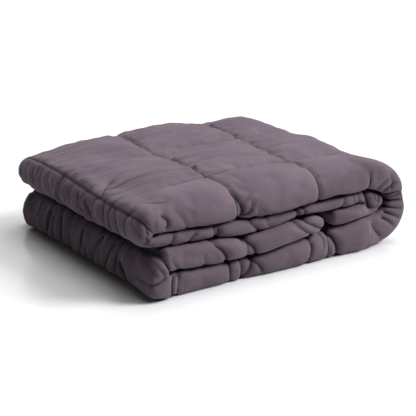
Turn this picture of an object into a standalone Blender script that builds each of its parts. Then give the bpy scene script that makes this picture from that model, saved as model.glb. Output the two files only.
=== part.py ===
# A quilted weighted blanket lying in a folded pile: in three across its width, then in four along its length.
# The quilt is one filled body. Its section runs back and forth along X, and is swept along Y between a rolled
# front edge and a rolled back edge. Metres, +Z up, the origin under the middle of the pile.

import math
from collections import namedtuple

import bmesh
import bpy
import numpy as np
from mathutils import Vector

MM = 0.001

# The pile, in millimetres: X from its left end, Y from its front edge, Z from the surface it lies on
PILE_DEPTH = 416.0
LAYER_GAP = 2.0

# The turns at the left end: where the gap inside each one stops, and the outer end and the sag of the low one
LEFT_TURN_TOP = 26.0
LEFT_TURN_LOW = 44.0
LOW_FOLD_END = 7.0
LOW_FOLD_SAG = 14.0

# The turns at the right end, one inside the other, round one centre
RIGHT_TURN = 390.0
RIGHT_TURN_HEIGHT = 69.0
INNER_FOLD_REACH = 42.0
WRAP_REACH = 88.0

# The quilt's two ends, which nearly meet in the third layer, and the share of its thickness left at a tip
START_TIP = 312.0
FINISH_TIP = 324.0
TIP_ROUND = 16.0
TIP_THIN = 0.3

# Fullness of each turn's upper and lower half: 2 is an ellipse, more is squarer
LOW_FULLNESS = (2.1, 3.0)
TOP_FULLNESS = (2.0, 2.4)
WRAP_FULLNESS = (1.9, 2.4)

# Heights of the pile's top and of the three gaps between its four layers, a row for each place along X
Level = namedtuple("Level", "x top gap12 gap23 gap34")
LEVELS = (
    Level(x=0, top=121, gap12=88, gap23=70, gap34=35),
    Level(x=45, top=129, gap12=89, gap23=69, gap34=35),
    Level(x=110, top=134, gap12=87, gap23=66, gap34=33),
    Level(x=180, top=137, gap12=86, gap23=63, gap34=31),
    Level(x=270, top=138, gap12=86, gap23=70, gap34=41),
    Level(x=340, top=138, gap12=89, gap23=70, gap34=45),
    Level(x=390, top=135, gap12=90, gap23=69, gap34=48),
)

# The stretches of the folded quilt from its start to its finish. Face A of the quilt is the upper side of the
# third layer and of the top, the outer side of both left turns and of the wrap, and the lower side elsewhere.
# Columns: how far the front edge is set back, how far its rounding reaches in on face A and on face B, how
# far the nose of the roll sits towards face A, how many times longer the rounding is at the back, and how
# deep the sewn lines sink into each face
Stretch = namedtuple("Stretch", "set_back round_a round_b nose back sink_a sink_b")
STRETCHES = {
    "third_left": Stretch(set_back=4, round_a=22, round_b=16, nose=0.0, back=1.2, sink_a=3, sink_b=2),
    "low_left_turn": Stretch(set_back=0, round_a=18, round_b=16, nose=0.3, back=3.0, sink_a=5, sink_b=1),
    "bottom": Stretch(set_back=8, round_a=12, round_b=20, nose=0.1, back=1.2, sink_a=0, sink_b=3),
    "right_wrap": Stretch(set_back=12, round_a=26, round_b=14, nose=0.0, back=1.8, sink_a=5, sink_b=1),
    "top": Stretch(set_back=12, round_a=40, round_b=14, nose=-0.6, back=1.3, sink_a=7, sink_b=2),
    "top_left_turn": Stretch(set_back=14, round_a=28, round_b=14, nose=-0.2, back=3.4, sink_a=6, sink_b=1),
    "second": Stretch(set_back=14, round_a=10, round_b=14, nose=0.1, back=1.2, sink_a=2, sink_b=3),
    "inner_turn": Stretch(set_back=20, round_a=14, round_b=20, nose=0.0, back=1.2, sink_a=1, sink_b=4),
    "third_right": Stretch(set_back=10, round_a=20, round_b=16, nose=0.0, back=1.2, sink_a=3, sink_b=2),
}
EDGE_DRAWN_IN = 7.0
BACK_SET_BACK = 4.0
BLEND_LENGTH = 36.0

# Quilting: 12 squares along the quilt. Each row pins one seam to a place on the folded path, where its front
# end and its back end pass x on the named stretch. CHANNEL_SHARE is how much of a square lies beside a seam
# before the first ring, and RING_GAP is the least share of a square between a seam or crease and another ring
SQUARES_ALONG = 12
SeamPin = namedtuple("SeamPin", "number stretch x_front x_back")
SEAM_PINS = (
    SeamPin(number=0, stretch="third_left", x_front=START_TIP, x_back=START_TIP),
    SeamPin(number=1, stretch="third_left", x_front=172, x_back=164),
    SeamPin(number=2, stretch="low_left_turn", x_front=16, x_back=16),
    SeamPin(number=3, stretch="bottom", x_front=164, x_back=158),
    SeamPin(number=4, stretch="bottom", x_front=320, x_back=308),
    SeamPin(number=6, stretch="top", x_front=300, x_back=335),
    SeamPin(number=7, stretch="top", x_front=158, x_back=176),
    SeamPin(number=8, stretch="top_left_turn", x_front=5, x_back=18),
    SeamPin(number=9, stretch="second", x_front=124, x_back=132),
    SeamPin(number=10, stretch="second", x_front=266, x_back=258),
    SeamPin(number=11, stretch="second", x_front=382, x_back=376),
    SeamPin(number=12, stretch="third_right", x_front=FINISH_TIP, x_back=FINISH_TIP),
)
SEAM_ROWS_Y = (103.0, 251.0, 403.0)
SQUARE_WIDTH = 152.5
CHANNEL_SHARE = 0.055
RING_GAP = 0.04
CROWN_POWER = 2.6

# The main creases in the front rolls besides the seams: where each one is on its stretch, and how deep and
# how wide it draws the roll in
Crease = namedtuple("Crease", "stretch x depth half_width")
CREASES = (
    Crease(stretch="third_left", x=132, depth=5, half_width=8),
    Crease(stretch="bottom", x=136, depth=4, half_width=7),
    Crease(stretch="bottom", x=280, depth=5, half_width=8),
    Crease(stretch="top", x=388, depth=5, half_width=9),
    Crease(stretch="second", x=78, depth=4, half_width=7),
    Crease(stretch="second", x=184, depth=4, half_width=8),
    Crease(stretch="second", x=340, depth=5, half_width=8),
)

# Unevenness of a pile folded by hand: every height swells and dips by this share
SWELL = 0.018
SWELL_START_X = 30.0
SWELL_LENGTH_X = 310.0
SWELL_LENGTH_Y = 260.0

# Spacing of the mesh
PATH_STEP = 1.0
TURN_POINTS = 61
FLAT_STEP = 30.0
TURN_STEP = math.radians(22)
FACE_LINES_Y = (68.0, 95.0, 103.0, 111.0, 150.0, 202.0, 243.0, 251.0, 259.0, 305.0)
ROLL_POINTS = 5

QUILT_COLOUR = (0.150, 0.105, 0.140, 1.0)


def height_at(x, column):
    # A smooth curve through one column of LEVELS
    xs = np.array([row.x for row in LEVELS], float)
    zs = np.array([getattr(row, column) for row in LEVELS], float)
    slopes = np.gradient(zs, xs)
    x = min(max(x, xs[0]), xs[-1])
    i = min(int(np.searchsorted(xs, x, side="right")) - 1, len(xs) - 2)
    width = xs[i + 1] - xs[i]
    t = (x - xs[i]) / width
    start = zs[i] * (2 * t**3 - 3 * t**2 + 1) + slopes[i] * width * (t**3 - 2 * t**2 + t)
    finish = zs[i + 1] * (3 * t**2 - 2 * t**3) + slopes[i + 1] * width * (t**3 - t**2)
    return start + finish


def layer_heights(layer, x):
    # The top and the bottom of one of the four layers at x, top layer first
    half_gap = LAYER_GAP / 2
    tops = {
        "top": height_at(x, "top"),
        "second": height_at(x, "gap12") - half_gap,
        "third": height_at(x, "gap23") - half_gap,
        "bottom": height_at(x, "gap34") - half_gap,
    }
    bottoms = {
        "top": height_at(x, "gap12") + half_gap,
        "second": height_at(x, "gap23") + half_gap,
        "third": height_at(x, "gap34") + half_gap,
        "bottom": 0.0,
    }
    return tops[layer], bottoms[layer]


def along_layer(layer, x_start, x_finish):
    # Pairs of section points, upper and lower, along one layer
    count = round(abs(x_finish - x_start) / PATH_STEP)
    xs = np.linspace(x_start, x_finish, count + 1)
    return [[(x, z) for z in layer_heights(layer, x)] for x in xs]


def around_turn(centre, side, outer, inner, fullness):
    # Pairs of section points, outer and inner, from the top of a turn to its bottom. side is -1 for a turn at
    # the left and 1 at the right. outer and inner are each a reach, a height above and a depth below the
    # centre, and how far the widest place sags below it
    pairs = []
    for angle in np.linspace(math.pi / 2, -math.pi / 2, TURN_POINTS):
        pair = []
        power = fullness[0] if angle > 0 else fullness[1]
        for reach, above, below, sag in (outer, inner):
            across = abs(math.cos(angle)) ** (2 / power) * reach
            rise = abs(math.sin(angle)) ** (2 / power)
            height = (above + sag) * rise if angle > 0 else -(below - sag) * rise
            pair.append((centre[0] + side * across, centre[1] - sag + height))
        pairs.append(pair)
    return pairs


def swapped(pairs):
    return [[second, first] for first, second in pairs]


def folded_path():
    # The stretches of the quilt from its start to its finish. Face A of the quilt is first in each pair
    round_gap = LAYER_GAP / 2
    inner_turn = (round_gap, round_gap, round_gap, 0)
    low_left = (LEFT_TURN_LOW, height_at(LEFT_TURN_LOW, "gap34"))
    top_left = (LEFT_TURN_TOP, height_at(LEFT_TURN_TOP, "gap12"))
    right = (RIGHT_TURN, RIGHT_TURN_HEIGHT)
    low_outer = (
        LEFT_TURN_LOW - LOW_FOLD_END,
        layer_heights("third", low_left[0])[0] - low_left[1],
        low_left[1],
        LOW_FOLD_SAG,
    )
    top_outer = (
        LEFT_TURN_TOP,
        layer_heights("top", top_left[0])[0] - top_left[1],
        top_left[1] - layer_heights("second", top_left[0])[1],
        0,
    )
    second_top = layer_heights("second", right[0])[0]
    third_bottom = layer_heights("third", right[0])[1]
    fold_outer = (INNER_FOLD_REACH, second_top - right[1], right[1] - third_bottom, 0)
    wrap_inner = (INNER_FOLD_REACH + LAYER_GAP, fold_outer[1] + LAYER_GAP, fold_outer[2] + LAYER_GAP, 0)
    wrap_outer = (WRAP_REACH, layer_heights("top", right[0])[0] - right[1], right[1], 0)
    return {
        "third_left": along_layer("third", START_TIP, low_left[0]),
        "low_left_turn": around_turn(low_left, -1, low_outer, inner_turn, LOW_FULLNESS),
        "bottom": swapped(along_layer("bottom", low_left[0], right[0])),
        "right_wrap": around_turn(right, 1, wrap_outer, wrap_inner, WRAP_FULLNESS)[::-1],
        "top": along_layer("top", right[0], top_left[0]),
        "top_left_turn": around_turn(top_left, -1, top_outer, inner_turn, TOP_FULLNESS),
        "second": swapped(along_layer("second", top_left[0], right[0])),
        "inner_turn": swapped(around_turn(right, 1, fold_outer, inner_turn, WRAP_FULLNESS)),
        "third_right": along_layer("third", right[0], FINISH_TIP),
    }


def blended(columns, lengths):
    # Running mean over BLEND_LENGTH along the path, so one stretch's edge runs softly into the next one's
    result = np.empty_like(columns)
    for i, length in enumerate(lengths):
        near = np.abs(lengths - length) <= BLEND_LENGTH / 2
        result[i] = columns[near].mean(axis=0)
    return result


class FoldedQuilt:
    # The folded path read by length along the middle of the quilt, and by square number
    def __init__(self):
        pairs, edges, names = [], [], []
        for name, stretch in folded_path().items():
            fresh = stretch[1:] if pairs else stretch
            pairs += fresh
            edges += [list(STRETCHES[name])] * len(fresh)
            names += [name] * len(fresh)
        self.faces = np.array(pairs, float).reshape(len(pairs), 4)
        self.names = np.array(names)
        middle = (self.faces[:, :2] + self.faces[:, 2:]) / 2
        steps = np.linalg.norm(np.diff(middle, axis=0), axis=1)
        self.lengths = np.concatenate([[0.0], np.cumsum(steps)])
        self.edges = blended(np.array(edges, float), self.lengths)
        self.pin_numbers = [pin.number for pin in SEAM_PINS]
        self.pin_fronts = [self.length_at(pin.stretch, pin.x_front) for pin in SEAM_PINS]
        self.pin_backs = [self.length_at(pin.stretch, pin.x_back) for pin in SEAM_PINS]
        self.crease_lengths = np.array([self.length_at(row.stretch, row.x) for row in CREASES])

    def length_at(self, name, x):
        # Where face A of the named stretch first passes x
        inside = np.flatnonzero(self.names == name)
        away = self.faces[inside, 0] - x
        passed = np.flatnonzero(away[:-1] * away[1:] <= 0)
        nearest = inside[passed[0]] if len(passed) else inside[np.argmin(np.abs(away))]
        return self.lengths[nearest]

    def length_of(self, number, y):
        # Where square number (whole on a seam) lies on the path, at a depth y into the pile
        front = np.interp(number, self.pin_numbers, self.pin_fronts)
        back = np.interp(number, self.pin_numbers, self.pin_backs)
        return front + (back - front) * y / PILE_DEPTH

    def crease_depth(self, number):
        # How far the creases draw the front roll in at this square number
        away = self.length_of(number, 0) - self.crease_lengths
        return sum(row.depth * math.exp(-((gap / row.half_width) ** 2)) for row, gap in zip(CREASES, away))

    def faces_at(self, length):
        point = [np.interp(length, self.lengths, column) for column in self.faces.T]
        return np.array(point[:2]), np.array(point[2:])

    def edge_at(self, length):
        return Stretch(*[np.interp(length, self.lengths, column) for column in self.edges.T])

    def stations(self):
        # Square numbers at which a ring is drawn: on and beside each seam and crease, and closer where the
        # quilt turns
        across = self.faces[:, :2] - self.faces[:, 2:]
        angles = np.unwrap(np.arctan2(across[:, 1], across[:, 0]))
        turning = np.concatenate([[0.0], np.cumsum(np.abs(np.diff(angles)))])
        cost = self.lengths / FLAT_STEP + turning / TURN_STEP
        spread = []
        for square in range(SQUARES_ALONG):
            inner = np.linspace(square + CHANNEL_SHARE, square + 1 - CHANNEL_SHARE, TURN_POINTS)
            costs = np.interp([self.length_of(number, 0) for number in inner], self.lengths, cost)
            count = max(2, math.ceil(costs[-1] - costs[0]))
            spread += list(np.interp(np.linspace(costs[0], costs[-1], count + 1), costs, inner))
        fixed = list(range(SQUARES_ALONG + 1))
        for row, length in zip(CREASES, self.crease_lengths):
            places = (length - row.half_width, length, length + row.half_width)
            fixed += list(np.interp(places, self.pin_fronts, self.pin_numbers))
        return sorted(fixed + [number for number in spread if nearest_gap(number, fixed) > RING_GAP])


def nearest_gap(value, marks):
    return min(abs(value - mark) for mark in marks)


def crown(distance):
    # 0 on a sewn line and 1 in the middle of a square, for a distance that is 1 there
    return 1 - (1 - min(distance, 1.0)) ** CROWN_POWER


def crown_across(y):
    return crown(nearest_gap(y, SEAM_ROWS_Y) / (SQUARE_WIDTH / 2))


def roll_lines(edge_y, inward, round_a, round_b, nose):
    # The points of one rolled edge from face A round to face B, as (y, share of the half thickness)
    lines = []
    for angle in np.linspace(math.pi / 2, -math.pi / 2, ROLL_POINTS + 2)[1:-1]:
        towards_a = angle > 0
        depth = (round_a if towards_a else round_b) * (1 - math.cos(angle))
        share = nose + (1 - nose if towards_a else 1 + nose) * math.sin(angle)
        lines.append((edge_y + inward * depth, share))
    return lines


def ring_lines(front_edge, back_edge, drawn_in, crease):
    # One section across the quilt as (y, share of the half thickness): share 1 is face A and -1 is face B
    front = front_edge.set_back + drawn_in + crease
    back = PILE_DEPTH - BACK_SET_BACK - drawn_in
    back_a = back_edge.round_a * back_edge.back
    back_b = back_edge.round_b * back_edge.back
    face_a = [(y, 1) for y in (front + front_edge.round_a, *FACE_LINES_Y, back - back_a)]
    face_b = [(y, -1) for y in (front + front_edge.round_b, *FACE_LINES_Y, back - back_b)]
    back_roll = roll_lines(back, -1, back_a, back_b, back_edge.nose)
    front_roll = roll_lines(front, 1, front_edge.round_a, front_edge.round_b, front_edge.nose)
    return face_a + back_roll + face_b[::-1] + front_roll[::-1]


def swell(x, y):
    wave_x = math.sin(2 * math.pi * (x + SWELL_START_X) / SWELL_LENGTH_X)
    wave_y = math.cos(2 * math.pi * y / SWELL_LENGTH_Y)
    return 1 + SWELL * wave_x * wave_y


def ring(quilt, number):
    # All points of the section that runs through one square number
    along = crown(abs(number - round(number)) * 2)
    front_edge = quilt.edge_at(quilt.length_of(number, 0))
    back_edge = quilt.edge_at(quilt.length_of(number, PILE_DEPTH))
    points = []
    drawn_in = EDGE_DRAWN_IN * (1 - along)
    for y, share in ring_lines(front_edge, back_edge, drawn_in, quilt.crease_depth(number)):
        length = quilt.length_of(number, y)
        point_a, point_b = quilt.faces_at(length)
        edge = quilt.edge_at(length)
        half = np.linalg.norm(point_a - point_b) / 2
        to_tip = min(length, quilt.lengths[-1] - length, TIP_ROUND) / TIP_ROUND
        tip = TIP_THIN + (1 - TIP_THIN) * math.sqrt(1 - (1 - to_tip) ** 2)
        sink = (edge.sink_a if share > 0 else edge.sink_b) * (1 - along * crown_across(y))
        lift = max(half * tip - sink, half * tip / 2) * share
        x, z = (point_a + point_b) / 2 + (point_a - point_b) / (2 * half) * lift
        points.append(Vector((x, y, z * swell(x, y))) * MM)
    return points


def quilt_material():
    material = bpy.data.materials.new("blanket")
    material.use_nodes = True
    shader = material.node_tree.nodes["Principled BSDF"]
    shader.inputs["Base Color"].default_value = QUILT_COLOUR
    shader.inputs["Roughness"].default_value = 0.85
    shader.inputs["Metallic"].default_value = 0.0
    return material


def make_blanket():
    quilt = FoldedQuilt()
    rings = [ring(quilt, number) for number in quilt.stations()]
    around = len(rings[0])
    bm = bmesh.new()
    bmesh.ops.create_grid(bm, x_segments=len(rings) - 1, y_segments=around, size=0.5)
    for vert in bm.verts:
        station = round((vert.co.x + 0.5) * (len(rings) - 1))
        place = round((vert.co.y + 0.5) * around) % around
        vert.co = rings[station][place]
    bmesh.ops.remove_doubles(bm, verts=bm.verts, dist=1e-6)
    bmesh.ops.holes_fill(bm, edges=bm.edges, sides=0)
    bmesh.ops.recalc_face_normals(bm, faces=bm.faces)
    mesh = bpy.data.meshes.new("blanket")
    bm.to_mesh(mesh)
    bm.free()
    mesh.shade_smooth()
    blanket = bpy.data.objects.new("blanket", mesh)
    blanket.data.materials.append(quilt_material())
    bpy.context.scene.collection.objects.link(blanket)
    return blanket


def centre_on_origin(blanket):
    # Puts the origin under the middle of the pile, on the surface it lies on
    corners = [Vector(corner) for corner in blanket.bound_box]
    low = Vector(min(corner[axis] for corner in corners) for axis in range(3))
    high = Vector(max(corner[axis] for corner in corners) for axis in range(3))
    shift = Vector(((low.x + high.x) / 2, (low.y + high.y) / 2, low.z))
    for vert in blanket.data.vertices:
        vert.co -= shift


for old in list(bpy.data.objects):
    bpy.data.objects.remove(old)
centre_on_origin(make_blanket())
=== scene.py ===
import math
from collections import namedtuple

import bmesh
import bpy
import numpy as np
from mathutils import Matrix, Vector, noise


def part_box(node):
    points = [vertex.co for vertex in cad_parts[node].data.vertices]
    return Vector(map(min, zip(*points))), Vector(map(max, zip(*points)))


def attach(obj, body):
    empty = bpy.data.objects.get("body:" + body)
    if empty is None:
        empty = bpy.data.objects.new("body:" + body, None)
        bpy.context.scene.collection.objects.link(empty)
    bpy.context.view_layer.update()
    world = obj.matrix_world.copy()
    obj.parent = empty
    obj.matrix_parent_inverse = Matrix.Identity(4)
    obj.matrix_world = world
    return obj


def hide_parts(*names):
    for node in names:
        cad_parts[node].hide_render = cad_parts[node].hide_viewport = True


# A quilted weighted blanket in a folded pile. Lengths are in millimetres here: x along the pile from its
# left end, y into it from its front edge, z up from the surface it lies on. The meshes are made in metres
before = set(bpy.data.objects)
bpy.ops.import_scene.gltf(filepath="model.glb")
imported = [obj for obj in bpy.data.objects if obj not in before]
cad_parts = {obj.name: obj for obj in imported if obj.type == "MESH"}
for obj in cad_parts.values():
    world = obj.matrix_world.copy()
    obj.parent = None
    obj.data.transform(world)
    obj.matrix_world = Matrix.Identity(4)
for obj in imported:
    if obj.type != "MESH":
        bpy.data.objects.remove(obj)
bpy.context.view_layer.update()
mm = 0.001
print("frame loaded,", len(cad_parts), "node")

pile = {
    "depth": 416.0,
    "layerGap": 2.0,
    "topTurnX": 26.0,  # where the gap inside each left turn stops
    "lowTurnX": 44.0,
    "lowTurnEnd": 7.0,
    "lowTurnSag": 14.0,
    "rightTurnX": 390.0,  # both right turns go round this centre
    "rightTurnZ": 69.0,
    "innerReach": 42.0,
    "wrapReach": 88.0,
    "startTipX": 312.0,  # the quilt's two ends, in the third layer
    "finishTipX": 324.0,
    "tipRound": 16.0,
    "tipThin": 0.3,
    "lowFullness": (2.1, 3.0),  # upper and lower half of a turn: 2 is an ellipse, more is squarer
    "topFullness": (2.0, 2.4),
    "wrapFullness": (1.9, 2.4),
    "backSetBack": 4.0,
    "blendLength": 36.0,
    "swell": 0.018,  # the layers' slow waves, as a share of the height
    "swellStartX": 30.0,
    "swellLengthX": 310.0,
    "swellLengthY": 260.0,
}

quilting = {
    "squareWidth": 152.5,
    "squares": 12,
    "rowsY": (103.0, 251.0, 403.0),
    "edgeDrawnIn": 4.5,
    "crownPower": 2.6,
    "rollFullness": 3.0,  # a rolled edge with a small rounding is squarer than a circle, which is 2
    "roundRoll": 34.0,  # an edge with this rounding or more is a circle
    "roundRollSpan": 14.0,
}

meshing = {
    "step": 6.0,  # spacing where the cloth shows, before it is halved
    "hiddenStep": 7,  # where the cloth doesn't show, one line in so many is kept
    "rollReach": 42.0,  # how far round a rolled edge the fine lines go
    "rollExtra": 14.0,  # how much longer a sector is for its rolled edge
    "turnPoints": 91,
    "rollPoints": 25,
    "squarePoints": 201,
    "fewestRings": 4,  # in one square
    "underBack": (0.22, 0.5, 0.75),  # shares of the way round the hidden face: the fine part, then the rest
    "underMiddle": (0.0, 0.33, 0.66),
    "underFront": (0.0, 0.25, 0.6),
    "showsFrom": 0.02,  # a ring shows where its blended showsA is above this
    "shareDigit": 0.1,  # the side attribute is the sector's number plus this much of the share
    "weld": 1e-6,
    "hiddenFront": 34.0,  # cloth this far in from the front edge can be hidden
    "hiddenBack": 40.0,
}

# heights of the top and of the three gaps between the layers
Level = namedtuple("Level", "x top gap12 gap23 gap34")
levels = (
    Level(0, 121, 88, 70, 35),
    Level(45, 129, 89, 69, 35),
    Level(110, 134, 87, 66, 33),
    Level(180, 137, 86, 63, 31),
    Level(270, 138, 86, 70, 41),
    Level(340, 138, 89, 70, 45),
    Level(390, 135, 90, 69, 48),
)

# each stretch of the quilt, from its start to its finish: how its rolled edges are shaped and how deep the
# sewn lines sink. Face A is the side that shows on top, round the left turns and round the wrap
Stretch = namedtuple("Stretch", "setBack roundA roundB nose back sinkA sinkB showsA")
stretches = {
    "thirdLeft": Stretch(4, 12, 9, 0.0, 1.2, 1, 1, 0),
    "lowLeftTurn": Stretch(0, 13, 10, 0.2, 3.0, 3, 1, 1),
    "bottom": Stretch(7, 9, 9, 0.1, 1.2, 0, 1, 0),
    "rightWrap": Stretch(12, 20, 9, 0.0, 1.8, 5, 1, 1),
    "top": Stretch(12, 38, 9, -0.6, 1.3, 7, 1, 1),
    "topLeftTurn": Stretch(14, 26, 9, -0.2, 3.4, 2, 1, 1),
    "second": Stretch(14, 8, 8, 0.1, 1.2, 1, 1, 0),
    "innerTurn": Stretch(18, 10, 10, 0.0, 1.2, 1, 1, 0),
    "thirdRight": Stretch(10, 11, 9, 0.0, 1.2, 1, 1, 0),
}
stretchNames = list(stretches)

# where each numbered seam across the quilt passes on the folded path, at its front end and its back end
SeamPin = namedtuple("SeamPin", "number stretch frontX backX")
seamPins = (
    SeamPin(0, "thirdLeft", 312, 312),
    SeamPin(1, "thirdLeft", 172, 164),
    SeamPin(2, "lowLeftTurn", 27, 27),
    SeamPin(3, "bottom", 164, 158),
    SeamPin(4, "bottom", 320, 308),
    SeamPin(6, "top", 300, 335),
    SeamPin(7, "top", 158, 176),
    SeamPin(8, "topLeftTurn", 5, 18),
    SeamPin(9, "second", 124, 132),
    SeamPin(10, "second", 266, 258),
    SeamPin(11, "second", 382, 376),
    SeamPin(12, "thirdRight", 324, 324),
)


def heightAt(x, column):
    # a smooth curve through one column of levels
    xs = np.array([row.x for row in levels], float)
    zs = np.array([getattr(row, column) for row in levels], float)
    slopes = np.gradient(zs, xs)
    x = np.clip(x, xs[0], xs[-1])
    i = np.clip(np.searchsorted(xs, x, side="right") - 1, 0, len(xs) - 2)
    width = xs[i + 1] - xs[i]
    t = (x - xs[i]) / width
    start = zs[i] * (2 * t**3 - 3 * t**2 + 1) + slopes[i] * width * (t**3 - 2 * t**2 + t)
    return start + zs[i + 1] * (3 * t**2 - 2 * t**3) + slopes[i + 1] * width * (t**3 - t**2)


def layerHeights(layer, x):
    # top and bottom of one layer, counted from the top of the pile
    names = ("top", "gap12", "gap23", "gap34")
    halfGap = pile["layerGap"] / 2
    upper = heightAt(x, names[layer]) - (halfGap if layer else 0)
    lower = heightAt(x, names[layer + 1]) + halfGap if layer < 3 else np.zeros_like(upper)
    return upper, lower


def alongLayer(layer, startX, finishX):
    xs = np.linspace(startX, finishX, round(abs(finishX - startX)) + 1)
    upper, lower = layerHeights(layer, xs)
    return np.column_stack((xs, upper, xs, lower))


def aroundTurn(centre, side, outer, inner, fullness):
    # outer and inner are reach, height above, depth below and sag; runs from the top to the bottom
    angles = np.linspace(math.pi / 2, -math.pi / 2, meshing["turnPoints"])
    power = np.where(angles > 0, fullness[0], fullness[1])
    columns = []
    for reach, above, below, sag in (outer, inner):
        across = np.abs(np.cos(angles)) ** (2 / power) * reach
        rise = np.abs(np.sin(angles)) ** (2 / power)
        height = np.where(angles > 0, (above + sag) * rise, -(below - sag) * rise)
        columns += [centre[0] + side * across, centre[1] - sag + height]
    return np.column_stack(columns)


def swapped(rows):
    return rows[:, [2, 3, 0, 1]]


def foldedPath():
    gap = pile["layerGap"]
    tiny = (gap / 2, gap / 2, gap / 2, 0)
    lowCentre = (pile["lowTurnX"], float(heightAt(pile["lowTurnX"], "gap34")))
    topCentre = (pile["topTurnX"], float(heightAt(pile["topTurnX"], "gap12")))
    right = (pile["rightTurnX"], pile["rightTurnZ"])
    lowUpper = float(layerHeights(2, lowCentre[0])[0])
    lowReach = pile["lowTurnX"] - pile["lowTurnEnd"]
    lowOuter = (lowReach, lowUpper - lowCentre[1], lowCentre[1], pile["lowTurnSag"])
    topUpper = float(layerHeights(0, topCentre[0])[0])
    topUnder = float(layerHeights(1, topCentre[0])[1])
    topOuter = (pile["topTurnX"], topUpper - topCentre[1], topCentre[1] - topUnder, 0)
    above = float(layerHeights(1, right[0])[0]) - right[1]
    below = right[1] - float(layerHeights(2, right[0])[1])
    foldOuter = (pile["innerReach"], above, below, 0)
    wrapInner = (pile["innerReach"] + gap, above + gap, below + gap, 0)
    wrapOuter = (pile["wrapReach"], float(layerHeights(0, right[0])[0]) - right[1], right[1], 0)
    return {
        "thirdLeft": alongLayer(2, pile["startTipX"], lowCentre[0]),
        "lowLeftTurn": aroundTurn(lowCentre, -1, lowOuter, tiny, pile["lowFullness"]),
        "bottom": swapped(alongLayer(3, lowCentre[0], right[0])),
        "rightWrap": aroundTurn(right, 1, wrapOuter, wrapInner, pile["wrapFullness"])[::-1],
        "top": alongLayer(0, right[0], topCentre[0]),
        "topLeftTurn": aroundTurn(topCentre, -1, topOuter, tiny, pile["topFullness"]),
        "second": swapped(alongLayer(1, topCentre[0], right[0])),
        "innerTurn": swapped(aroundTurn(right, 1, foldOuter, tiny, pile["wrapFullness"])),
        "thirdRight": alongLayer(2, right[0], pile["finishTipX"]),
    }


class FoldedQuilt:
    # reads the folded path by length along the quilt, and by square number
    def __init__(self):
        path = foldedPath()
        parts = [rows if i == 0 else rows[1:] for i, rows in enumerate(path.values())]
        self.faces = np.concatenate(parts)
        self.names = np.repeat(np.arange(len(parts)), [len(part) for part in parts])
        middle = (self.faces[:, :2] + self.faces[:, 2:]) / 2
        self.lengths = np.concatenate([[0.0], np.cumsum(np.linalg.norm(np.diff(middle, axis=0), axis=1))])
        sideA = np.linalg.norm(np.diff(self.faces[:, :2], axis=0), axis=1)
        sideB = np.linalg.norm(np.diff(self.faces[:, 2:], axis=0), axis=1)
        self.longest = np.concatenate([[0.0], np.cumsum(np.maximum(sideA, sideB))])
        raw = np.array([stretches[name] for name in stretchNames], float)[self.names]
        self.edges = self.blended(raw)
        self.numbers = [pin.number for pin in seamPins]
        self.fronts = [self.lengthAt(pin.stretch, pin.frontX) for pin in seamPins]
        self.backs = [self.lengthAt(pin.stretch, pin.backX) for pin in seamPins]

    def blended(self, columns):
        # running mean, so one stretch's edge runs softly into the next one's
        total = np.vstack([np.zeros(columns.shape[1]), np.cumsum(columns, axis=0)])
        reach = pile["blendLength"] / 2
        low = np.searchsorted(self.lengths, self.lengths - reach)
        high = np.searchsorted(self.lengths, self.lengths + reach)
        return (total[high] - total[low]) / (high - low)[:, None]

    def lengthAt(self, stretch, x):
        # where face A of the stretch first passes x
        inside = np.flatnonzero(self.names == stretchNames.index(stretch))
        away = self.faces[inside, 0] - x
        passed = np.flatnonzero(away[:-1] * away[1:] <= 0)
        return self.lengths[inside[passed[0]] if len(passed) else inside[np.argmin(np.abs(away))]]

    def lengthOf(self, number, y):
        front = np.interp(number, self.numbers, self.fronts)
        back = np.interp(number, self.numbers, self.backs)
        return front + (back - front) * y / pile["depth"]

    def facesAt(self, length):
        a = np.stack([np.interp(length, self.lengths, self.faces[:, i]) for i in (0, 1)], axis=-1)
        b = np.stack([np.interp(length, self.lengths, self.faces[:, i]) for i in (2, 3)], axis=-1)
        return a, b

    def edgeAt(self, length):
        return Stretch(*[np.interp(length, self.lengths, column) for column in self.edges.T])

    def stations(self):
        # square numbers of the rings, a step apart on the longer side of the cloth, with one on each seam
        marks = []
        for square in range(quilting["squares"]):
            inner = np.linspace(square, square + 1, meshing["squarePoints"])
            run = np.interp(self.lengthOf(inner, 0), self.lengths, self.longest)
            count = max(meshing["fewestRings"], math.ceil((run[-1] - run[0]) / meshing["step"]))
            marks.append(np.interp(np.linspace(run[0], run[-1], count + 1)[:-1], run, inner))
        return np.concatenate(marks + [[float(quilting["squares"])]])


def crown(distance):
    # 0 on a sewn line and 1 in the middle of a square
    return 1 - (1 - np.minimum(distance, 1.0)) ** quilting["crownPower"]


def rowGap(y):
    return np.min([np.abs(y - row) for row in quilting["rowsY"]], axis=0)


def seamGap(number, y):
    # distance to the nearest sewn line
    return np.minimum(np.abs(number - np.round(number)) * quilting["squareWidth"], rowGap(y))


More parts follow.
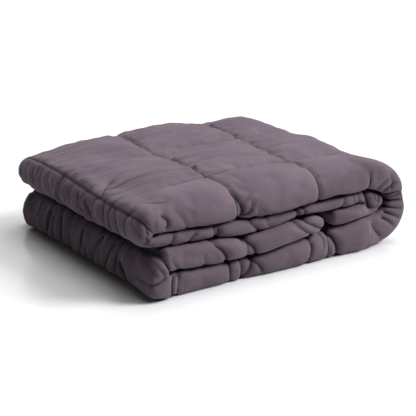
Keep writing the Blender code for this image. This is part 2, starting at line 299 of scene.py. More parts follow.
def ringProfile(edge, backEdge, drawnIn):
    # the section across the quilt at one ring, as (y, share) corners: share 1 is face A and -1 is face B
    front = edge.setBack + drawnIn
    back = pile["depth"] - pile["backSetBack"] - drawnIn
    quarter = np.linspace(0, math.pi / 2, meshing["rollPoints"])

    def roll(edgeY, inward, rounding, nose, sign):
        squarer = np.clip((quilting["roundRoll"] - rounding) / quilting["roundRollSpan"], 0, 1)
        plump = 2 + (quilting["rollFullness"] - 2) * squarer
        y = edgeY + inward * rounding * (1 - np.maximum(np.cos(quarter), 0) ** (2 / plump))
        share = nose + (sign - nose) * np.sin(quarter) ** (2 / plump)
        return np.column_stack((y, share))

    rowA, rowB = quilting["rowsY"][:2]
    frontA = roll(front, 1, edge.roundA, edge.nose, 1)
    frontB = roll(front, 1, edge.roundB, edge.nose, -1)
    backA = roll(back, -1, backEdge.roundA * backEdge.back, backEdge.nose, 1)
    backB = roll(back, -1, backEdge.roundB * backEdge.back, backEdge.nose, -1)
    return [
        np.vstack([frontA, [rowA, 1]]),
        np.array([[rowA, 1], [rowB, 1]]),
        np.vstack([[rowB, 1], backA[::-1]]),
        np.vstack([backB, [rowB, -1]]),
        np.array([[rowB, -1], [rowA, -1]]),
        np.vstack([[rowA, -1], frontB[::-1]]),
    ]


def sectorSpacing():
    # where the points of each sector lie, as shares of its length, crowded towards a rolled end
    step = meshing["step"]
    rows = quilting["rowsY"]
    frontLength = rows[0] + meshing["rollExtra"]
    backLength = pile["depth"] - rows[1] + meshing["rollExtra"]
    fine = round(meshing["rollReach"] / step)
    even = [round(frontLength / step), round((rows[1] - rows[0]) / step), round(backLength / step)]
    shares = [np.linspace(0, 1, n + 1)[:-1] for n in even]
    under = meshing["underBack"]
    crowdBack = np.concatenate([np.linspace(0, under[0], fine + 1), under[1:]])
    under = meshing["underFront"]
    crowdFront = np.concatenate([under[:-1], np.linspace(under[-1], 1, fine + 1)[:-1]])
    shares += [crowdBack, np.array(meshing["underMiddle"]), crowdFront]
    return shares


def ringPoints(quilt, number, spacing):
    # y, share, perimeter and sector of each point round one ring
    edge = quilt.edgeAt(quilt.lengthOf(number, 0))
    backEdge = quilt.edgeAt(quilt.lengthOf(number, pile["depth"]))
    a, b = quilt.facesAt(quilt.lengthOf(number, 0))
    half = float(np.linalg.norm(a - b)) / 2
    drawnIn = quilting["edgeDrawnIn"] * (1 - crown(abs(number - round(number)) * 2))
    ys, shares, runs, sides, start = [], [], [], [], 0.0
    for i, corners in enumerate(ringProfile(edge, backEdge, drawnIn)):
        steps = np.hypot(np.diff(corners[:, 0]), np.diff(corners[:, 1]) * half)
        run = np.concatenate([[0.0], np.cumsum(steps)])
        at = spacing[i] * run[-1]
        ys.append(np.interp(at, run, corners[:, 0]))
        shares.append(np.interp(at, run, corners[:, 1]))
        runs.append(start + at)
        sides.append(np.full(len(at), i))
        start += run[-1]
    return np.concatenate(ys), np.concatenate(shares), np.concatenate(runs), np.concatenate(sides)


def swellAt(x, y):
    waveX = np.sin(2 * math.pi * (x + pile["swellStartX"]) / pile["swellLengthX"])
    return 1 + pile["swell"] * waveX * np.cos(2 * math.pi * y / pile["swellLengthY"])


def placeOnPath(quilt, number, y, share):
    # where the point of square number, depth and share lies in the pile
    length = quilt.lengthOf(number, y)
    a, b = quilt.facesAt(length)
    edge = quilt.edgeAt(length)
    half = np.linalg.norm(a - b, axis=-1) / 2
    toTip = np.minimum(np.minimum(length, quilt.lengths[-1] - length), pile["tipRound"]) / pile["tipRound"]
    tip = pile["tipThin"] + (1 - pile["tipThin"]) * np.sqrt(np.maximum(0, 1 - (1 - toTip) ** 2))
    puffed = crown(np.abs(number - np.round(number)) * 2) * crown(rowGap(y) / (quilting["squareWidth"] / 2))
    sink = np.where(share > 0, edge.sinkA, edge.sinkB) * (1 - puffed)
    lift = np.maximum(half * tip - sink, half * tip / 2) * share
    point = (a + b) / 2 + (a - b) / (2 * half[..., None]) * lift[..., None]
    x, z = point[..., 0], point[..., 1]
    return np.stack([x, y, z * swellAt(x, y)], axis=-1)


def buildShell():
    quilt = FoldedQuilt()
    numbers = quilt.stations()
    spacing = sectorSpacing()
    rings = [ringPoints(quilt, number, spacing) for number in numbers]
    ys, shares, runs, sides = (np.array([ring[i] for ring in rings]) for i in range(4))
    grid = np.repeat(numbers[:, None], ys.shape[1], axis=1)
    places = placeOnPath(quilt, grid, ys, shares)
    around = ys.shape[1]
    lengths = quilt.lengthOf(numbers, 0)
    names = quilt.names[np.searchsorted(quilt.lengths, lengths).clip(0, len(quilt.names) - 1)]
    showing = quilt.edges[:, Stretch._fields.index("showsA")]
    shows = np.interp(lengths, quilt.lengths, showing) > meshing["showsFrom"]

    bm = bmesh.new()
    bmesh.ops.create_grid(bm, x_segments=len(numbers) - 1, y_segments=around, size=0.5)
    uvLayer = bm.loops.layers.uv.new("cloth")
    floats = {key: bm.verts.layers.float.new(key) for key in ("square", "into", "side", "stretch", "seam")}
    flat = bm.verts.layers.float_vector.new("flat")
    where = {}
    for vert in bm.verts:
        station = round((vert.co.x + 0.5) * (len(numbers) - 1))
        place = round((vert.co.y + 0.5) * around)
        where[vert] = (station, place)
    for face in bm.faces:
        for loop in face.loops:
            station, place = where[loop.vert]
            run = runs[station, place] if place < around else runs[station, -1] + meshing["step"]
            loop[uvLayer].uv = (lengths[station] * mm, run * mm)
    # lines that only hidden cloth uses are dissolved further down
    plain = [False] * around
    firstB = int(np.flatnonzero(sides[0] == 3)[0])
    fine = round(meshing["rollReach"] / meshing["step"])
    for place in range(around):
        side = sides[0, place]
        inBack = side == 2 and firstB - place <= fine
        inFront = side == 0 and place <= fine
        if side <= 2 and not inBack and not inFront and place % meshing["hiddenStep"]:
            plain[place] = True
    for vert, (station, place) in where.items():
        place %= around
        vert.co = Vector(places[station, place]) * mm
        vert[flat] = places[station, place]
        vert[floats["square"]] = numbers[station]
        vert[floats["into"]] = ys[station, place]
        vert[floats["side"]] = sides[station, place] + shares[station, place] * meshing["shareDigit"]
        vert[floats["stretch"]] = names[station]
        vert[floats["seam"]] = float(seamGap(numbers[station], ys[station, place])) * mm
    idle = []
    for edge in bm.edges:
        (s1, p1), (s2, p2) = where[edge.verts[0]], where[edge.verts[1]]
        if p1 == p2 and plain[p1 % around] and not (shows[s1] or shows[s2]):
            idle.append(edge)
    bmesh.ops.dissolve_edges(bm, edges=idle, use_verts=True, use_face_split=False)
    bmesh.ops.remove_doubles(bm, verts=bm.verts, dist=meshing["weld"])
    bmesh.ops.holes_fill(bm, edges=bm.edges, sides=0)
    bmesh.ops.recalc_face_normals(bm, faces=bm.faces)
    return bm


def makeObject(bm, name):
    mesh = bpy.data.meshes.new(name)
    bm.to_mesh(mesh)
    bm.free()
    mesh.shade_smooth()
    piece = bpy.data.objects.new(name, mesh)
    bpy.context.scene.collection.objects.link(piece)
    return piece


def readPoints(mesh):
    points = np.empty(len(mesh.vertices) * 3)
    mesh.vertices.foreach_get("co", points)
    return points.reshape(-1, 3)


def writePoints(mesh, points):
    mesh.vertices.foreach_set("co", points.ravel())
    mesh.update()


def settle(piece):
    # the shell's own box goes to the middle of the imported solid's box, on the floor
    low, high = (np.array(corner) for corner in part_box("blanket"))
    points = readPoints(piece.data)
    shift = (low + high) / 2 - (points.min(axis=0) + points.max(axis=0)) / 2
    shift[2] = low[2] - points[:, 2].min()
    writePoints(piece.data, points + shift)


def readFloats(mesh, key):
    values = np.empty(len(mesh.vertices))
    mesh.attributes[key].data.foreach_get("value", values)
    return values


def readFlat(mesh):
    # where each point lay before any fold or swelling, in millimetres
    places = np.empty(len(mesh.vertices) * 3)
    mesh.attributes["flat"].data.foreach_get("vector", places)
    return places.reshape(-1, 3)


def readNormals(mesh):
    normals = np.empty(len(mesh.vertices) * 3)
    mesh.vertices.foreach_get("normal", normals)
    return normals.reshape(-1, 3)


# the folds and pinches of the cloth, placed one by one. A fold lies on one side of the pile: front is read
# as x and z, left as y and z, top as x and y, and corner as x - y and z. It runs from start by middle to
# end, on the layers named, counted from the top. fade is how much of its depth is gone at its end
Fold = namedtuple("Fold", "side layers start middle end depth width fade")
folds = (
    # left turn of the upper two layers
    Fold("left", "12", (330, 92), (338, 104), (343, 117), 2.0, 4.5, 0.8),
    Fold("left", "12", (306, 84), (312, 98), (316, 115), 2.0, 4.5, 0.8),
    Fold("left", "12", (275, 80), (284, 98), (293, 117), 3.0, 6.0, 0.7),
    Fold("left", "12", (252, 80), (258, 94), (262, 110), 2.0, 4.5, 0.8),
    Fold("left", "12", (226, 80), (229, 92), (232, 104), 3.0, 5.0, 0.7),
    Fold("left", "12", (181, 80), (186, 92), (194, 106), 4.5, 5.0, 0.6),
    Fold("left", "12", (160, 79), (166, 94), (176, 109), 4.5, 5.0, 0.6),
    Fold("left", "12", (140, 78), (148, 94), (146, 110), 4.0, 5.0, 0.3),
    Fold("left", "12", (117, 80), (118, 94), (122, 108), 6.0, 4.5, 0.5),
    Fold("left", "12", (98, 78), (101, 92), (106, 104), 3.0, 4.0, 0.7),
    Fold("left", "12", (80, 80), (83, 95), (90, 109), 5.0, 5.0, 0.5),
    Fold("left", "12", (57, 84), (60, 100), (52, 116), 6.0, 5.0, 0.4),
    # left turn of the lower two layers
    Fold("left", "34", (352, 20), (343, 36), (340, 52), 3.0, 5.0, 0.6),
    Fold("left", "34", (318, 12), (312, 30), (314, 50), 5.0, 6.0, 0.5),
    Fold("left", "34", (295, 14), (292, 28), (298, 44), 3.0, 5.0, 0.6),
    Fold("left", "34", (272, 6), (268, 24), (276, 50), 7.5, 6.5, 0.3),
    Fold("left", "34", (240, 10), (236, 26), (240, 44), 3.5, 5.0, 0.6),
    Fold("left", "34", (214, 6), (206, 22), (204, 46), 5.0, 5.5, 0.5),
    Fold("left", "34", (190, 8), (188, 20), (193, 32), 5.0, 5.0, 0.6),
    Fold("left", "34", (168, 4), (164, 26), (154, 52), 8.5, 6.5, 0.2),
    Fold("left", "34", (138, 10), (128, 28), (118, 50), 6.0, 5.5, 0.4),
    Fold("left", "34", (108, 12), (106, 26), (104, 42), 4.0, 5.0, 0.6),
    Fold("left", "34", (77, 4), (82, 18), (94, 32), 8.0, 6.0, 0.4),
    # near corner of the upper layers: the roll is tucked in round the end of the first gap
    Fold("corner", "12", (28, 98), (31, 106), (18, 116), 6.0, 4.0, 0.3),
    Fold("corner", "12", (58, 90), (56, 106), (34, 120), 2.5, 4.0, 0.6),
    Fold("corner", "12", (-6, 88), (-6, 98), (-9, 107), 3.5, 4.0, 0.4),
    Fold("corner", "12", (-10, 80), (-4, 84), (2, 88), 5.0, 4.0, 0.3),
    Fold("corner", "12", (-16, 92), (-22, 102), (-16, 114), 2.4, 4.0, 0.6),
    Fold("corner", "12", (-30, 98), (-36, 110), (-26, 122), 2.4, 4.0, 0.7),
    Fold("corner", "1", (6, 104), (8, 112), (2, 120), 2.0, 4.0, 0.6),
    # near corner of the lower layers
    Fold("corner", "34", (30, 32), (4, 25), (-32, 29), 3.8, 4.0, 0.6),
    Fold("corner", "34", (30, 34), (23, 44), (10, 54), 3.2, 4.0, 0.6),
    Fold("corner", "34", (16, 36), (6, 43), (-6, 50), 2.0, 4.0, 0.6),
    Fold("corner", "34", (44, 32), (46, 44), (38, 56), 2.6, 4.0, 0.5),
    Fold("front", "4", (47, 31), (43, 17), (46, 1), 4.8, 3.5, 0.0),
    Fold("front", "4", (58, 31), (56, 16), (53, 1), 4.8, 3.5, 0.0),
    # front roll of the top layer
    Fold("front", "1", (161, 86), (167, 100), (161, 122), 6.5, 5.0, 0.4),
    Fold("front", "1", (163, 90), (178, 96), (184, 110), 5.0, 4.5, 0.6),
    Fold("front", "1", (168, 112), (176, 114), (186, 120), 2.5, 4.0, 0.8),
    Fold("front", "1", (190, 86), (194, 96), (186, 110), 2.5, 4.5, 0.8),
    Fold("front", "1", (393, 84), (396, 98), (396, 118), 5.0, 6.0, 0.5),
    Fold("front", "1", (440, 88), (441, 98), (436, 110), 4.0, 5.0, 0.5),
    # front edge of the second layer
    Fold("front", "2", (55, 86), (52, 79), (47, 71), 3.2, 4.0, 0.0),
    Fold("front", "2", (90, 82), (82, 75), (74, 64), 3.6, 4.5, 0.0),
    Fold("front", "2", (129, 80), (128, 70), (128, 62), 4.0, 4.5, 0.0),
    Fold("front", "2", (182, 82), (186, 75), (199, 62), 3.6, 5.0, 0.0),
    Fold("front", "2", (208, 84), (210, 76), (214, 70), 2.0, 4.0, 0.4),
    Fold("front", "2", (266, 85), (269, 76), (271, 66), 3.2, 3.5, 0.0),
    Fold("front", "2", (277, 85), (278, 76), (280, 66), 3.2, 3.5, 0.0),
    Fold("front", "2", (351, 86), (347, 76), (342, 66), 3.2, 4.5, 0.0),
    Fold("front", "2", (368, 86), (370, 78), (370, 72), 2.0, 4.0, 0.4),
    Fold("front", "2", (395, 88), (396, 77), (402, 62), 7.2, 6.5, 0.0),
    # front edge of the third layer
    Fold("front", "3", (101, 32), (98, 42), (96, 52), 2.4, 5.0, 0.7),
    Fold("front", "3", (117, 62), (130, 48), (136, 34), 5.6, 5.0, 0.0),
    Fold("front", "3", (164, 62), (178, 50), (188, 32), 4.8, 5.0, 0.0),
    Fold("front", "3", (258, 66), (268, 56), (284, 45), 4.0, 5.0, 0.3),
    Fold("front", "3", (272, 70), (286, 60), (304, 50), 4.8, 5.0, 0.2),
    Fold("front", "3", (366, 46), (372, 52), (380, 58), 2.0, 5.0, 0.6),
    # front edge of the bottom layer
    Fold("front", "4", (143, 32), (143, 18), (144, 4), 4.4, 4.5, 0.0),
    Fold("front", "4", (180, 30), (178, 18), (166, 2), 5.2, 5.0, 0.0),
    Fold("front", "4", (180, 30), (190, 18), (198, 6), 4.0, 4.5, 0.2),
    Fold("front", "4", (281, 40), (285, 22), (280, 4), 4.0, 5.0, 0.0),
    Fold("front", "4", (318, 42), (331, 22), (336, 2), 7.2, 6.0, 0.0),
    Fold("front", "4", (304, 40), (308, 30), (306, 20), 2.4, 4.5, 0.5),
    Fold("front", "4", (402, 38), (410, 26), (420, 16), 4.0, 5.0, 0.3),
    # the wrap at the right end, drawn together round the inner turn
    Fold("front", "14", (432, 75), (448, 79), (465, 77), 6.0, 4.5, 0.8),
    Fold("front", "14", (432, 68), (450, 67), (470, 66), 6.5, 4.5, 0.7),
    Fold("front", "14", (432, 60), (446, 56), (464, 52), 6.0, 4.5, 0.8),
    Fold("front", "14", (430, 52), (443, 46), (460, 38), 6.0, 4.5, 0.7),
    Fold("front", "14", (424, 44), (434, 38), (446, 28), 5.0, 4.5, 0.7),
    Fold("front", "14", (428, 86), (441, 93), (454, 96), 5.0, 4.5, 0.7),
    Fold("front", "14", (414, 92), (424, 100), (434, 104), 3.0, 4.0, 0.6),
    Fold("front", "2", (418, 84), (421, 77), (418, 70), 4.0, 4.0, 0.0),
    Fold("front", "2", (408, 86), (410, 80), (412, 72), 2.4, 4.0, 0.0),
    Fold("front", "3", (398, 68), (408, 62), (420, 62), 3.2, 4.0, 0.2),
    Fold("front", "3", (415, 48), (420, 56), (430, 62), 3.2, 4.0, 0.2),
    # tucks where the seams cross on the top
    Fold("top", "1", (12, 138), (44, 168), (70, 178), 3.5, 6.0, 0.8),
    Fold("top", "1", (12, 138), (60, 152), (150, 141), 3.0, 6.0, 0.8),
    Fold("top", "1", (14, 122), (50, 128), (96, 126), 2.0, 5.0, 0.8),
    Fold("top", "1", (36, 66), (24, 62), (12, 52), 2.5, 5.0, 0.5),
    Fold("top", "1", (52, 36), (40, 44), (30, 58), 2.0, 5.0, 0.7),
)

layerStretches = {
    "1": ("top", "topLeftTurn", "rightWrap"),
    "2": ("second", "topLeftTurn", "innerTurn"),
    "3": ("thirdLeft", "thirdRight", "lowLeftTurn", "innerTurn"),
    "4": ("bottom", "lowLeftTurn", "rightWrap"),
}

folding = {
    "curvePoints": 9,
    "firstShare": 0.12,  # how much of a fold is pressed in before the cloth swells, and the rest after it
    "firstRound": 3.0,  # how round a fold's bottom is pressed, at first and at last
    "lastRound": 0.8,
    "firstWidth": 0.8,  # and the share of its width that counts
    "lastWidth": 0.55,
    "fadePower": 1.5,
    "drawIn": 2.2,  # how near a fold the cloth's points are drawn onto its line
    "drawGain": 1.5,
    # the painted shade along a fold's bottom: how wide it is
    "paintedShadeWidth": 2.3,
    "paintedShadeDepth": 4.0,  # a fold this deep gets the whole painted shade at its bottom
    "held": 3.0,  # how near a fold's bottom the cloth is held while it swells
    "heldFrom": 0.5,
    "heldShorter": 0.6,  # a fading fold is held over less of its length
    "reach": 75.0,  # how far round the pile's edge a fold on that side can reach
    "fullReach": 0.6,  # the share of the reach where it has its whole depth
    "cornerReach": 1.3,
    "topStartZ": 90.0,
    "topFullZ": 105.0,
}

# what a step in a side's two measures is in x, y and z
sideAxes = {
    "front": np.array([(1, 0, 0), (0, 0, 1.0)]),
    "left": np.array([(0, 1, 0), (0, 0, 1.0)]),
    "corner": np.array([(0.5, -0.5, 0), (0, 0, 1.0)]),
    "top": np.array([(1, 0, 0), (0, 1.0, 0)]),
}


def smoothStep(value, start, finish):
    t = np.clip((value - start) / (finish - start), 0, 1)
    return t * t * (3 - 2 * t)


def readSide(fold, places):
    # the points in the fold's own two measures, and how much each of them belongs to its side of the pile
    x, y, z = places.T
    reach = folding["reach"]
    if fold.side == "front":
        return x, z, 1 - smoothStep(y, reach * folding["fullReach"], reach)
    if fold.side == "left":
        return y, z, 1 - smoothStep(x, reach * folding["fullReach"], reach)
    if fold.side == "corner":
        return x - y, z, 1 - smoothStep(np.maximum(x, y), reach, reach * folding["cornerReach"])
    return x, y, smoothStep(z, folding["topStartZ"], folding["topFullZ"])


def foldDistance(fold, places):
    # distance to the fold's curve, the way to it, how far along it that is, and the share that applies
    across, up, weight = readSide(fold, places)
    steps = np.linspace(0, 1, folding["curvePoints"])[:, None]
    start, middle, end = (np.array(point, float) for point in (fold.start, fold.middle, fold.end))
    bend = 2 * middle - (start + end) / 2
    curve = (1 - steps) ** 2 * start + 2 * steps * (1 - steps) * bend + steps**2 * end
    points = np.column_stack((across, up))
    nearest = np.full(len(points), np.inf)
    along = np.zeros(len(points))
    way = np.zeros(points.shape)
    for i, (a, b) in enumerate(zip(curve[:-1], curve[1:])):
        t = np.clip((points - a) @ (b - a) / ((b - a) @ (b - a)), 0, 1)
        toLine = a + t[:, None] * (b - a) - points
        gap = np.linalg.norm(toLine, axis=1)
        closer = gap < nearest
        nearest[closer] = gap[closer]
        way[closer] = toLine[closer]
        along[closer] = (i + t[closer]) / (len(curve) - 1)
    return nearest, way @ sideAxes[fold.side], along, weight


def foldMask(fold, stretch):
    names = [name for layer in fold.layers for name in layerStretches[layer]]
    return np.isin(np.round(stretch), [stretchNames.index(name) for name in names])


def pressFolds(mesh, share, bottomRound, widthShare):
    # moves the cloth in along each fold, and gives where it is held and how much painted shade goes on the
    # fold's bottom
    places, stretch = readFlat(mesh), readFloats(mesh, "stretch")
    points, normals = readPoints(mesh), readNormals(mesh)
    sunk = np.zeros(len(points))
    hold = np.zeros(len(points))
    paintedShade = np.zeros(len(points))
    drawn = np.zeros(points.shape)
    for fold in folds:
        mask = foldMask(fold, stretch)
        gap, way, along, weight = foldDistance(fold, places[mask])
        strength = weight * (1 - fold.fade * along ** folding["fadePower"])
        away = np.sqrt(gap**2 + bottomRound**2) - bottomRound
        here = fold.depth * share * strength * np.exp(-away / (fold.width * widthShare))
        stronger = here > sunk[mask]
        sunk[mask] = np.maximum(sunk[mask], here)
        pulled = np.exp(-((gap / folding["drawIn"]) ** 2)) * np.minimum(strength * folding["drawGain"], 1)
        drawn[mask] = np.where(stronger[:, None], way * pulled[:, None], drawn[mask])
        heldTo = 1 - folding["heldShorter"] * fold.fade
        near = (gap < folding["held"]) & (weight > folding["heldFrom"]) & (along < heldTo)
        hold[mask] = np.maximum(hold[mask], near)
        # painted shade along the fold's bottom, fuller for a deeper fold
        foldShade = np.exp(-((gap / folding["paintedShadeWidth"]) ** 2)) * fold.depth / folding["paintedShadeDepth"] * strength
        paintedShade[mask] = np.maximum(paintedShade[mask], np.minimum(foldShade, 1))
    writePoints(mesh, points + (drawn - normals * sunk[:, None]) * mm)
    return hold, paintedShade


puff = {
    "pressure": 2.0,
    "slack": 0.016,  # how much more cloth there is than its sewn size
    "startSmaller": 1.5,
    "smallerSeam": 30.0,  # the whole of startSmaller is reached this far from a seam
    "smallerEdge": (25.0, 55.0),  # and it comes in between these distances from an edge
    "floorHeld": 1.5,  # cloth lower than this lies on the floor
    "frames": 20,
    "quality": 4,
    "mass": 0.003,
    "stiffness": 15.0,
    "shear": 5.0,
    "bending": 0.02,
    "damping": 0.1,
    "airDamping": 0.2,
    "topCap": 3.5,  # how far a point may move
    "rollCap": 2.2,
    "capEdge": (30.0, 60.0),  # from the one to the other between these distances from an edge
    "seamHeld": 2.5,
    "tightSeam": 8,  # this seam runs round the outside of a turn, and the cloth beside it is drawn tight
    "tightReach": 24.0,
    "tightFill": 2.2,
    "tightStill": 0.8,  # how much of the swelling is held back there
    "tightSmooth": 0.6,  # and how much of the groove and the puckers
}


def whereHidden(mesh):
    # sectors 0 to 2 are face A, and 3 to 5 are face B
    side, stretch, into = (readFloats(mesh, key) for key in ("side", "stretch", "into"))
    showing = [i for i, name in enumerate(stretchNames) if stretches[name].showsA]
    shows = np.isin(np.round(stretch), showing)
    inside = (into > meshing["hiddenFront"]) & (into < pile["depth"] - meshing["hiddenBack"])
    return ((np.round(side) >= 3) | ~shows) & inside


def drawnTight(mesh):
    away = (readFloats(mesh, "square") - puff["tightSeam"]) * quilting["squareWidth"]
    return np.exp(-((away / puff["tightReach"]) ** 2))


def puffUp(piece, foldHold):
    # the filling presses the cloth out between its seams and folds, and the slack in it gathers there
    mesh = piece.data
    hidden = whereHidden(mesh)
    seam = readFloats(mesh, "seam") / mm
    into = readFloats(mesh, "into")
    points, normals = readPoints(mesh), readNormals(mesh)
    lifted = points[:, 2] > puff["floorHeld"] * mm
    free = ~hidden & (seam > puff["seamHeld"]) & (foldHold < 0.5) & lifted
    inward = np.minimum(into, pile["depth"] - into)
    softly = smoothStep(seam, 0, puff["smallerSeam"]) * smoothStep(inward, *puff["smallerEdge"]) * ~hidden
    base = points - normals * (puff["startSmaller"] * mm * softly)[:, None]
    writePoints(mesh, base)
    group = piece.vertex_groups.new(name="held")
    group.add([int(i) for i in np.flatnonzero(~free)], 1.0, "REPLACE")
    modifier = piece.modifiers.new("puff", "CLOTH")
    settings = modifier.settings
    settings.quality = puff["quality"]
    settings.mass = puff["mass"]
    settings.tension_stiffness = settings.compression_stiffness = puff["stiffness"]
    settings.shear_stiffness = puff["shear"]
    settings.bending_stiffness = puff["bending"]
    settings.tension_damping = settings.compression_damping = puff["damping"]
    settings.shear_damping = settings.bending_damping = puff["damping"]
    settings.air_damping = puff["airDamping"]
    settings.shrink_min = -puff["slack"]
    settings.use_pressure = True
    settings.uniform_pressure_force = puff["pressure"]
    settings.effector_weights.gravity = 0
    settings.vertex_group_mass = "held"
    modifier.point_cache.frame_start = 1
    modifier.point_cache.frame_end = puff["frames"]
    for step in range(1, puff["frames"] + 1):
        bpy.context.scene.frame_set(step)
    shaped = piece.evaluated_get(bpy.context.evaluated_depsgraph_get())
    moved = readPoints(shaped.data) - base
    piece.modifiers.remove(modifier)
    piece.vertex_groups.remove(group)
    bpy.context.scene.frame_set(1)
    cap = puff["rollCap"] + (puff["topCap"] - puff["rollCap"]) * smoothStep(inward, *puff["capEdge"])
    cap = cap * (1 - puff["tightStill"] * drawnTight(mesh)) * mm
    far = np.linalg.norm(moved, axis=1)
    print("cloth moved", round(far.mean() / mm, 2), "mm on average, most", round(far.max() / mm, 1))
    moved *= (cap * np.tanh(far / cap) / np.maximum(far, 1e-9))[:, None]
    writePoints(mesh, base + moved)


def halveSpacing(piece):
    modifier = piece.modifiers.new("finer", "SUBSURF")
    modifier.levels = modifier.render_levels = 1
    graph = bpy.context.evaluated_depsgraph_get()
    shaped = piece.evaluated_get(graph)
    finer = bpy.data.meshes.new_from_object(shaped, preserve_all_data_layers=True, depsgraph=graph)
    piece.modifiers.remove(modifier)
    coarse = piece.data
    piece.data = finer
    bpy.data.meshes.remove(coarse)
    finer.name = piece.name


detail = {
    "grooveDepth": 2.4,  # the thread's own narrow groove
    "grooveWidth": 2.6,
    "puckerDepth": 1.3,  # small gathers beside every seam
    "puckerSpan": (7.5, 9.0, 40.0),  # their spacing along a seam, between two seams, and away from one
    "puckerStart": 5.0,
    "puckerReach": 13.0,
    "puckerSeed": 3.1,
    "rowPucker": 0.4,  # the seams along the quilt are much smoother
    "crossAside": 31.7,  # these two set the pattern of one seam apart from the next one's
    "rowAside": 17.3,
    "rowAsideStep": 50.0,
    "gatherDepth": 3.5,  # long soft gathers along x, behind the front row of the top
    "gatherGain": 1.6,
    "gatherLength": 80.0,
    "gatherWidth": 8.5,
    "gatherSeed": 8.4,
    "fineGather": 0.5,  # shallower gathers among them, and narrower by as much
    "fineGatherLength": 0.6,
    "fineGatherSeed": 5.2,
    "gatherFrom": (95.0, 125.0),  # y where they start and where they have their whole depth
    "gatherSeam": (1.0, 8.0),  # and the same away from a seam
    "gatherMean": 0.55,  # they come and go in patches
    "gatherSpread": 0.9,
    "gatherPatch": (110.0, 60.0),
    "gatherPatchSeed": 2.6,
    # painted shade in the wedge between the two left turns
    "cleftShadeStrength": 0.65,
    "cleftReach": 16.0,
    "cleftBottom": 4.0,
    "cleftStartX": 5.0,
}


def unevenness(places, lengths, seed):
    return np.array([noise.noise(Vector((x / lengths[0], y / lengths[1], z / lengths[2] + seed)))
                     for x, y, z in places])


def cleftShade(mesh, places):
    # painted shade: the wedge between the two left turns gets darker colour towards its bottom, where it
    # lies in shadow
    x, z = places[:, 0], places[:, 2]
    turns = [stretchNames.index(name) for name in ("lowLeftTurn", "topLeftTurn")]
    inTurn = np.isin(np.round(readFloats(mesh, "stretch")), turns)
    gap = np.abs(z - heightAt(x, "gap23"))
    low = 1 - smoothStep(gap, detail["cleftBottom"], detail["cleftReach"])
    shadeFactor = smoothStep(x, detail["cleftStartX"], pile["topTurnX"]) * low
    return detail["cleftShadeStrength"] * shadeFactor * inTurn


def addDetail(piece):
    mesh = piece.data
    paintedShade = pressFolds(mesh, 1 - folding["firstShare"], folding["lastRound"], folding["lastWidth"])[1]
    places = readFlat(mesh)
    # the painted shade of the cleft joins that of the folds
    paintedShade = np.maximum(paintedShade, cleftShade(mesh, places))
    # the painted shade of the folds and the cleft is kept for the material
    mesh.attributes.new("creaseShade", "FLOAT", "POINT").data.foreach_set("value", paintedShade)
    seam, square, into = (readFloats(mesh, key) for key in ("seam", "square", "into"))
    seam = seam / mm
    hidden = whereHidden(mesh)
    points, normals = readPoints(mesh), readNormals(mesh)
    groove = -detail["grooveDepth"] * np.exp(-((seam / detail["grooveWidth"]) ** 2))
    # beside a seam across the quilt the puckers repeat along y, and beside a row along the quilt
    run = square * quilting["squareWidth"]
    crossGap = np.abs(square - np.round(square)) * quilting["squareWidth"]
    besideCross = crossGap < rowGap(into)
    repeat = np.where(besideCross, into, run)
    rowAside = np.round(into / detail["rowAsideStep"]) * detail["rowAside"]
    aside = np.where(besideCross, np.round(square) * detail["crossAside"], rowAside)
    flat = np.column_stack((repeat, aside, seam))
    rise = np.minimum(seam / detail["puckerStart"], 1) * np.exp(-((seam / detail["puckerReach"]) ** 2))
    pucker = unevenness(flat, detail["puckerSpan"], detail["puckerSeed"]) * rise * 2 * detail["puckerDepth"]
    pucker *= np.where(besideCross, 1, detail["rowPucker"])
    long = np.column_stack((run, into, np.zeros(len(run))))
    length, width = detail["gatherLength"], detail["gatherWidth"]
    gather = unevenness(long, (length, width, 1.0), detail["gatherSeed"])
    fine = (length * detail["fineGatherLength"], width * detail["fineGather"], 1.0)
    gather += detail["fineGather"] * unevenness(long, fine, detail["fineGatherSeed"])
    where = smoothStep(into, *detail["gatherFrom"]) * smoothStep(seam, *detail["gatherSeam"])
    patches = unevenness(long, (*detail["gatherPatch"], 1.0), detail["gatherPatchSeed"])
    where *= detail["gatherMean"] + detail["gatherSpread"] * patches
    tight = drawnTight(mesh)
    lift = (groove + pucker) * (1 - puff["tightSmooth"] * tight)
    lift += gather * where * detail["gatherGain"] * detail["gatherDepth"]
    lift += puff["tightFill"] * tight
    lift[hidden] = 0
    points = points + normals * (lift * mm)[:, None]
    points[:, 2] = np.maximum(points[:, 2], 0)
    writePoints(mesh, points)


cloth = {
    "colour": (0.112, 0.082, 0.104, 1.0),
    "wornColour": (0.140, 0.105, 0.131, 1.0),  # in soft patches
    "roughness": 0.9,
    "specular": 0.2,
    "sheen": 0.15,
    "sheenRoughness": 0.4,
    "sheenTint": (0.95, 0.88, 0.94, 1.0),
    "patchScale": 14.0,
    "patchDetail": 5.0,
    "patchFrom": 0.38,
    "patchTo": 0.66,
    "napScale": 420.0,
    "napDetail": 3.0,
    "napStrength": 0.5,
    "napHeight": 0.0004,  # in metres, like the weave's height and the seam's reach
    "threadsPerMetre": 700.0,
    "weaveStrength": 0.3,
    "weaveHeight": 0.00015,
    "seamThreadAndShadeLight": 0.05,  # how light the cloth still is on a sewn line: partly the thread's dark line, partly painted shade in the seam's groove
    "seamReach": 0.0021,
    "creaseShadeStrength": 0.95,  # painted shade: how much darker the colour is made at the bottom of a fold
}


def addNode(tree, kind, links=(), **settings):
    node = tree.nodes.new(kind)
    for name, value in settings.items():
        setattr(node, name, value)
    for name, source in links:
        if hasattr(source, "node"):
            tree.links.new(source, node.inputs[name])
        else:
            node.inputs[name].default_value = source
    return node


